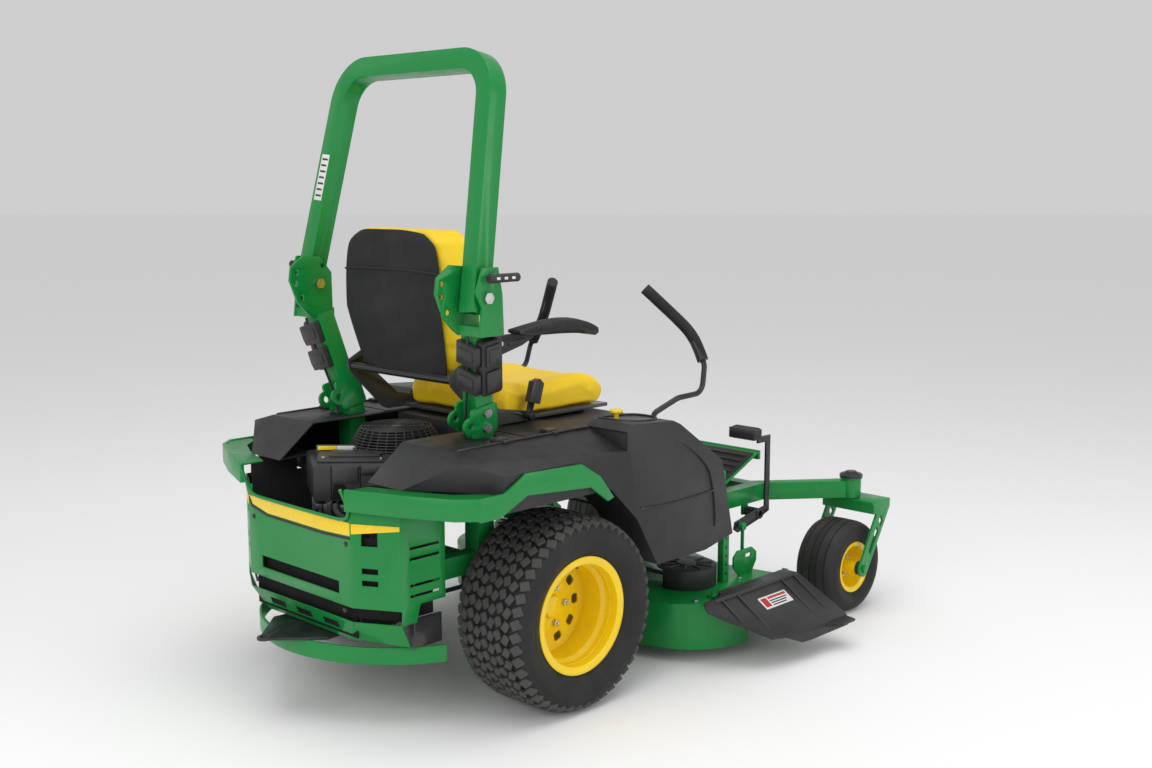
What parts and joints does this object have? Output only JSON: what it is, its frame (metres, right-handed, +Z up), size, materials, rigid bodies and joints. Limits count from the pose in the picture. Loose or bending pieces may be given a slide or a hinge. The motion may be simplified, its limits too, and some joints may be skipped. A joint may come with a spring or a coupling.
{
  "type": "zero turn mower",
  "caption": "Ride-on zero turn mower: rear engine, roll bar, swing-out lap bars, swivelling front casters and a belly-mounted deck with a side deflector.",
  "frame": {"origin": "on the ground under the middle of the overall box", "axes": "+X forward, +Y to the left, +Z up"},
  "size_m": [2.2109, 1.539, 1.898],
  "materials": {
    "green_paint": "gloss",
    "yellow_paint": "gloss",
    "black_paint": "semi-gloss",
    "black_plastic": "textured",
    "yellow_plastic": "gloss",
    "engine_metal": "cast",
    "steel": "satin",
    "tyre": "matte",
    "rubber": "matte",
    "vinyl": "grained"
  },
  "bodies": {
    "chassis": {"main_frame": "green_paint", "front_frame": "green_paint", "hitch_brackets": "black_paint", "bumper": "green_paint", "transaxles": "engine_metal", "engine_block": "engine_metal", "engine_cowls": "black_plastic", "fan_guard": "black_plastic", "muffler": "steel", "fuel_tank": "black_plastic", "battery": "black_plastic", "side_covers": "black_plastic", "fenders": "green_paint", "rear_guard": "green_paint", "floor_pan": "green_paint", "floor_mat": "rubber", "seat_base": "black_plastic", "rops_posts": "green_paint", "frame_bolts": "steel", "lamps": "black_plastic", "lamp_cables": "rubber"},
    "crank": {"crankshaft": "steel"},
    "cap": {"fuel_cap": "yellow_plastic"},
    "seat": {"seat_frame": "black_paint", "seat_cushion": "vinyl", "seat_back": "vinyl"},
    "buckle": {"belt_buckle": "black_plastic"},
    "hoop": {"rops_hoop": "green_paint"},
    "pedal": {"lift_pedal": "black_paint"},
    "pto": {"pto_knob": "yellow_plastic"},
    "height": {"height_knob": "black_plastic"},
    "deck": {"deck_shell": "green_paint", "belt_covers": "black_plastic", "deck_belt": "rubber", "deck_hangers": "steel"},
    "deflector": {"chute": "black_plastic"},
    "rear_wheel_left": {"rear_tyre_left": "tyre", "rear_rim_left": "yellow_paint"},
    "fork_left": {"caster_fork_left": "green_paint"},
    "caster_wheel_left": {"caster_tyre_left": "tyre", "caster_rim_left": "yellow_paint"},
    "arm_left": {"armrest_left": "black_plastic"},
    "pin_left": {"rops_pin_left": "steel"},
    "pivot_left": {"lap_pivot_left": "black_paint"},
    "lap_left": {"lap_bar_left": "black_paint"},
    "rear_wheel_right": {"rear_tyre_right": "tyre", "rear_rim_right": "yellow_paint"},
    "fork_right": {"caster_fork_right": "green_paint"},
    "caster_wheel_right": {"caster_tyre_right": "tyre", "caster_rim_right": "yellow_paint"},
    "arm_right": {"armrest_right": "black_plastic"},
    "pin_right": {"rops_pin_right": "steel"},
    "pivot_right": {"lap_pivot_right": "black_paint"},
    "lap_right": {"lap_bar_right": "black_paint"},
    "cutter_left": {"spindle_left": "steel", "blade_left": "steel"},
    "cutter_centre": {"spindle_centre": "steel", "blade_centre": "steel"},
    "cutter_right": {"spindle_right": "steel", "blade_right": "steel"}
  },
  "joints": [
    {"name": "rear_wheel_left_spin", "type": "hinge", "parent": "chassis", "child": "rear_wheel_left", "pos_m": [-0.4035, 0.563, 0.288], "axis": [0, 1, 0], "continuous": true},
    {"name": "caster_left_swivel", "type": "hinge", "parent": "chassis", "child": "fork_left", "pos_m": [1.0115, 0.6525, 0.43], "axis": [0, 0, 1], "continuous": true},
    {"name": "caster_left_spin", "type": "hinge", "parent": "fork_left", "child": "caster_wheel_left", "pos_m": [0.9415, 0.6525, 0.164], "axis": [0, 1, 0], "continuous": true},
    {"name": "armrest_left_fold", "type": "hinge", "parent": "seat", "child": "arm_left", "pos_m": [-0.4335, 0.3575, 1.052], "axis": [0, -1, 0], "range_deg": [0, 88]},
    {"name": "rops_pin_left_pull", "type": "slide", "parent": "chassis", "child": "pin_left", "axis": [0, 1, 0], "range_m": [0, 0.02]},
    {"name": "lap_left_drive", "type": "hinge", "parent": "chassis", "child": "pivot_left", "pos_m": [0.1115, 0.4665, 0.65], "axis": [0, 1, 0], "range_deg": [-18, 18]},
    {"name": "lap_left_open", "type": "hinge", "parent": "pivot_left", "child": "lap_left", "pos_m": [0.1115, 0.4685, 0.726], "axis": [-1, 0, 0], "range_deg": [0, 45]},
    {"name": "rear_wheel_right_spin", "type": "hinge", "parent": "chassis", "child": "rear_wheel_right", "pos_m": [-0.4035, -0.402, 0.288], "axis": [0, 1, 0], "continuous": true},
    {"name": "caster_right_swivel", "type": "hinge", "parent": "chassis", "child": "fork_right", "pos_m": [1.0115, -0.4915, 0.43], "axis": [0, 0, 1], "continuous": true},
    {"name": "caster_right_spin", "type": "hinge", "parent": "fork_right", "child": "caster_wheel_right", "pos_m": [0.9415, -0.4915, 0.164], "axis": [0, 1, 0], "continuous": true},
    {"name": "armrest_right_fold", "type": "hinge", "parent": "seat", "child": "arm_right", "pos_m": [-0.4335, -0.1965, 1.052], "axis": [0, -1, 0], "range_deg": [0, 88]},
    {"name": "rops_pin_right_pull", "type": "slide", "parent": "chassis", "child": "pin_right", "axis": [0, -1, 0], "range_m": [0, 0.02]},
    {"name": "lap_right_drive", "type": "hinge", "parent": "chassis", "child": "pivot_right", "pos_m": [0.1115, -0.3055, 0.65], "axis": [0, 1, 0], "range_deg": [-18, 18]},
    {"name": "lap_right_open", "type": "hinge", "parent": "pivot_right", "child": "lap_right", "pos_m": [0.1115, -0.3075, 0.726], "axis": [1, 0, 0], "range_deg": [0, 45]},
    {"name": "crank_spin", "type": "hinge", "parent": "chassis", "child": "crank", "pos_m": [-0.6005, 0.0805, 0.5], "axis": [0, 0, 1], "continuous": true},
    {"name": "fuel_cap_turn", "type": "hinge", "parent": "chassis", "child": "cap", "pos_m": [0.0665, -0.4195, 0.775], "axis": [0, 0, 1], "range_deg": [0, 120]},
    {"name": "seat_slide", "type": "slide", "parent": "chassis", "child": "seat", "axis": [1, 0, 0], "range_m": [-0.05, 0.08]},
    {"name": "buckle_swing", "type": "hinge", "parent": "seat", "child": "buckle", "pos_m": [-0.2935, -0.1755, 0.818], "axis": [0, 1, 0], "range_deg": [-25, 25]},
    {"name": "rops_fold", "type": "hinge", "parent": "chassis", "child": "hoop", "pos_m": [-0.6245, 0.0805, 1.207], "axis": [0, -1, 0], "range_deg": [0, 100]},
    {"name": "pedal_press", "type": "hinge", "parent": "chassis", "child": "pedal", "pos_m": [0.6415, -0.3355, 0.378], "axis": [0, 1, 0], "range_deg": [0, 32]},
    {"name": "pto_pull", "type": "slide", "parent": "chassis", "child": "pto", "axis": [0, 0, 1], "range_m": [0, 0.012]},
    {"name": "height_turn", "type": "hinge", "parent": "chassis", "child": "height", "pos_m": [0.3815, -0.2645, 0.56], "axis": [0, 0, 1], "range_deg": [-150, 150]},
    {"name": "deck_lift", "type": "slide", "parent": "chassis", "child": "deck", "axis": [0, 0, 1], "range_m": [0, 0.09], "deforming": ["deck_belt"]},
    {"name": "chute_lift", "type": "hinge", "parent": "deck", "child": "deflector", "pos_m": [0.3965, -0.4995, 0.206], "axis": [-1, 0, 0], "range_deg": [0, 80]},
    {"name": "blade_left_spin", "type": "hinge", "parent": "deck", "child": "cutter_left", "pos_m": [0.2965, 0.4805, 0.15], "axis": [0, 0, 1], "continuous": true},
    {"name": "blade_centre_spin", "type": "hinge", "parent": "deck", "child": "cutter_centre", "pos_m": [0.4115, 0.0805, 0.15], "axis": [0, 0, 1], "continuous": true},
    {"name": "blade_right_spin", "type": "hinge", "parent": "deck", "child": "cutter_right", "pos_m": [0.2965, -0.3195, 0.15], "axis": [0, 0, 1], "continuous": true}
  ],
  "couplings": [
    {"joint": "blade_left_spin", "follows": "crank_spin", "ratio": 1},
    {"joint": "blade_centre_spin", "follows": "crank_spin", "ratio": 1},
    {"joint": "blade_right_spin", "follows": "crank_spin", "ratio": 1},
    {"joint": "pedal_press", "follows": "deck_lift", "rad_per_m": 6.2056}
  ]
}
